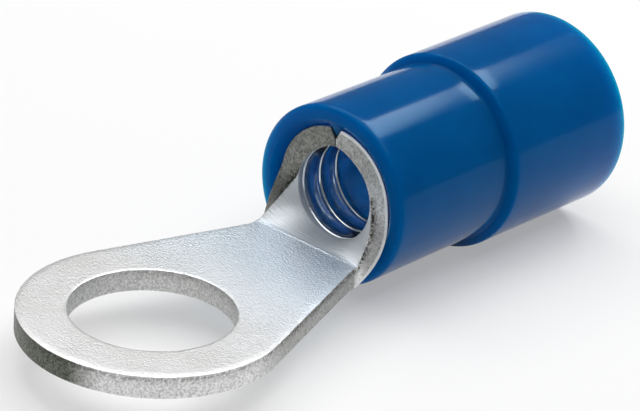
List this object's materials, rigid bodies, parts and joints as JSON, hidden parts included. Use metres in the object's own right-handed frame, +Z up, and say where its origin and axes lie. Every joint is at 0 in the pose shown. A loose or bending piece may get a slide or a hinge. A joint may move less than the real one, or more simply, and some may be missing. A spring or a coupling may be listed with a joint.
{
  "type": "insulated ring terminal",
  "caption": "Crimp ring terminal: a flat tinned ring and tongue rolled into a split barrel, with a stepped blue plastic sleeve pushed over it.",
  "frame": {"origin": "centre of the stud hole on the underside of the ring", "axes": "+Z up along the stud hole, +X from the stud hole towards the wire entry, +Y across the tongue"},
  "size_m": [0.0381, 0.0136, 0.011],
  "materials": {
    "tinned_copper": "matt tin plating over copper sheet, brighter where the forming tool rubbed it",
    "blue_plastic": "glossy moulded blue plastic"
  },
  "bodies": {
    "root": {"terminal": "tinned_copper", "sleeve": "blue_plastic"}
  },
  "joints": []
}
